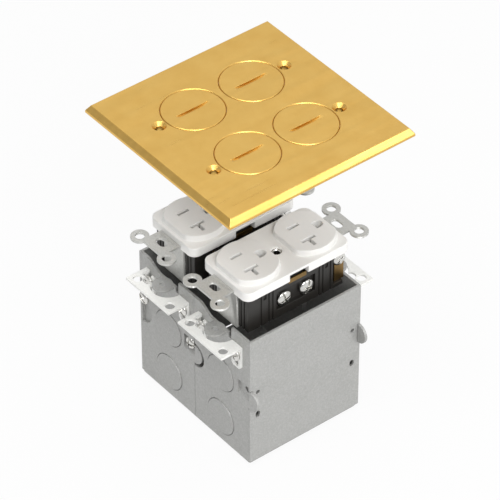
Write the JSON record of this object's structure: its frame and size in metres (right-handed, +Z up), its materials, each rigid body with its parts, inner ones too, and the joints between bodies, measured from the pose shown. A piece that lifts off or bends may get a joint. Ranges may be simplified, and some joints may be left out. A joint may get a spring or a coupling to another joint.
{
  "type": "floor socket box",
  "caption": "Floor socket box: ganged steel box with sliding plaster ears, duplex sockets lifted above it, and a square brass cover with screw-in discs over the outlets.",
  "frame": {"origin": "centre of the box's underside, on the seam between the two gangs", "axes": "+X across the two gangs, +Y along the sockets, +Z up out of the floor"},
  "size_m": [0.123, 0.123, 0.1929],
  "materials": {
    "galvanised_steel": "galvanised, satin",
    "ear_steel": "bright zinc",
    "strap_steel": "bright zinc",
    "screw_steel": "nickel-plated",
    "spring_steel": "drawn wire",
    "white_plastic": "semi-gloss",
    "black_plastic": "satin",
    "grey_plastic": "satin",
    "contact_brass": "tarnished",
    "brass_screws": "plated",
    "cover_brass": "brushed, lacquered",
    "rubber": "matt"
  },
  "bodies": {
    "box": {"box_gang_right": "galvanised_steel", "box_gang_left": "galvanised_steel", "side_plate_right": "galvanised_steel", "side_plate_left": "galvanised_steel", "joining_screws": "screw_steel", "side_plate_screws": "screw_steel", "ear_screws": "screw_steel"},
    "ear_right_front": {"ear_right_front": "ear_steel"},
    "ear_right_back": {"ear_right_back": "ear_steel"},
    "ear_left_front": {"ear_left_front": "ear_steel"},
    "ear_left_back": {"ear_left_back": "ear_steel"},
    "socket_right": {"face_right": "white_plastic", "body_right": "black_plastic", "strap_right": "strap_steel", "hot_contacts_right": "contact_brass", "neutral_contacts_right": "contact_brass", "ground_contacts_right": "contact_brass", "hot_screws_right": "brass_screws", "neutral_screws_right": "screw_steel", "ground_screw_right": "screw_steel", "wire_clamps_right": "screw_steel", "middle_bush_right": "screw_steel", "rivets_right": "screw_steel", "shutter_spring_right_front": "spring_steel", "shutter_spring_right_back": "spring_steel"},
    "shutter_right_front": {"shutter_right_front": "grey_plastic"},
    "shutter_right_back": {"shutter_right_back": "grey_plastic"},
    "socket_left": {"face_left": "white_plastic", "body_left": "black_plastic", "strap_left": "strap_steel", "hot_contacts_left": "contact_brass", "neutral_contacts_left": "contact_brass", "ground_contacts_left": "contact_brass", "hot_screws_left": "brass_screws", "neutral_screws_left": "screw_steel", "ground_screw_left": "screw_steel", "wire_clamps_left": "screw_steel", "middle_bush_left": "screw_steel", "rivets_left": "screw_steel", "shutter_spring_left_front": "spring_steel", "shutter_spring_left_back": "spring_steel"},
    "shutter_left_front": {"shutter_left_front": "grey_plastic"},
    "shutter_left_back": {"shutter_left_back": "grey_plastic"},
    "cover": {"cover_plate": "cover_brass", "cover_gasket": "rubber"},
    "seal_right_front": {"seal_right_front": "rubber"},
    "disc_right_front": {"disc_right_front": "cover_brass"},
    "seal_right_back": {"seal_right_back": "rubber"},
    "disc_right_back": {"disc_right_back": "cover_brass"},
    "seal_left_front": {"seal_left_front": "rubber"},
    "disc_left_front": {"disc_left_front": "cover_brass"},
    "seal_left_back": {"seal_left_back": "rubber"},
    "disc_left_back": {"disc_left_back": "cover_brass"}
  },
  "joints": [
    {"name": "ear_right_front_slide", "type": "slide", "parent": "box", "child": "ear_right_front", "axis": [0, 0, 1], "range_m": [-0.0012, 0.0023]},
    {"name": "ear_right_back_slide", "type": "slide", "parent": "box", "child": "ear_right_back", "axis": [0, 0, 1], "range_m": [-0.0012, 0.0023]},
    {"name": "ear_left_front_slide", "type": "slide", "parent": "box", "child": "ear_left_front", "axis": [0, 0, 1], "range_m": [-0.0012, 0.0023]},
    {"name": "ear_left_back_slide", "type": "slide", "parent": "box", "child": "ear_left_back", "axis": [0, 0, 1], "range_m": [-0.0012, 0.0023]},
    {"name": "socket_right_lift", "type": "slide", "parent": "box", "child": "socket_right", "axis": [0, 0, 1], "range_m": [-0.0277, 0]},
    {"name": "shutter_right_front_slide", "type": "slide", "parent": "socket_right", "child": "shutter_right_front", "axis": [-1, 0, 0], "range_m": [0, 0.0072], "stiffness_N_per_m": 40, "springref_m": -0.004, "deforming": ["shutter_spring_right_front"]},
    {"name": "shutter_right_back_slide", "type": "slide", "parent": "socket_right", "child": "shutter_right_back", "axis": [-1, 0, 0], "range_m": [0, 0.0072], "stiffness_N_per_m": 40, "springref_m": -0.004, "deforming": ["shutter_spring_right_back"]},
    {"name": "socket_left_lift", "type": "slide", "parent": "box", "child": "socket_left", "axis": [0, 0, 1], "range_m": [-0.0277, 0]},
    {"name": "shutter_left_front_slide", "type": "slide", "parent": "socket_left", "child": "shutter_left_front", "axis": [-1, 0, 0], "range_m": [0, 0.0072], "stiffness_N_per_m": 40, "springref_m": -0.004, "deforming": ["shutter_spring_left_front"]},
    {"name": "shutter_left_back_slide", "type": "slide", "parent": "socket_left", "child": "shutter_left_back", "axis": [-1, 0, 0], "range_m": [0, 0.0072], "stiffness_N_per_m": 40, "springref_m": -0.004, "deforming": ["shutter_spring_left_back"]},
    {"name": "cover_lift", "type": "slide", "parent": "socket_right", "child": "cover", "axis": [0, 0, 1], "range_m": [-0.0693, 0]},
    {"name": "disc_right_front_climb", "type": "slide", "parent": "cover", "child": "seal_right_front", "axis": [0, 0, 1], "range_m": [0, 0.003]},
    {"name": "disc_right_front_turn", "type": "hinge", "parent": "seal_right_front", "child": "disc_right_front", "pos_m": [0.02302, -0.01945, 0.191], "axis": [0, 0, 1], "range_deg": [0, 900]},
    {"name": "disc_right_back_climb", "type": "slide", "parent": "cover", "child": "seal_right_back", "axis": [0, 0, 1], "range_m": [0, 0.003]},
    {"name": "disc_right_back_turn", "type": "hinge", "parent": "seal_right_back", "child": "disc_right_back", "pos_m": [0.02302, 0.01945, 0.191], "axis": [0, 0, 1], "range_deg": [0, 900]},
    {"name": "disc_left_front_climb", "type": "slide", "parent": "cover", "child": "seal_left_front", "axis": [0, 0, 1], "range_m": [0, 0.003]},
    {"name": "disc_left_front_turn", "type": "hinge", "parent": "seal_left_front", "child": "disc_left_front", "pos_m": [-0.02302, -0.01945, 0.191], "axis": [0, 0, 1], "range_deg": [0, 900]},
    {"name": "disc_left_back_climb", "type": "slide", "parent": "cover", "child": "seal_left_back", "axis": [0, 0, 1], "range_m": [0, 0.003]},
    {"name": "disc_left_back_turn", "type": "hinge", "parent": "seal_left_back", "child": "disc_left_back", "pos_m": [-0.02302, 0.01945, 0.191], "axis": [0, 0, 1], "range_deg": [0, 900]}
  ],
  "couplings": [
    {"joint": "socket_left_lift", "follows": "socket_right_lift", "ratio": 1},
    {"joint": "disc_right_front_turn", "follows": "disc_right_front_climb", "rad_per_m": 5236},
    {"joint": "disc_right_back_turn", "follows": "disc_right_back_climb", "rad_per_m": 5236},
    {"joint": "disc_left_front_turn", "follows": "disc_left_front_climb", "rad_per_m": 5236},
    {"joint": "disc_left_back_turn", "follows": "disc_left_back_climb", "rad_per_m": 5236}
  ]
}
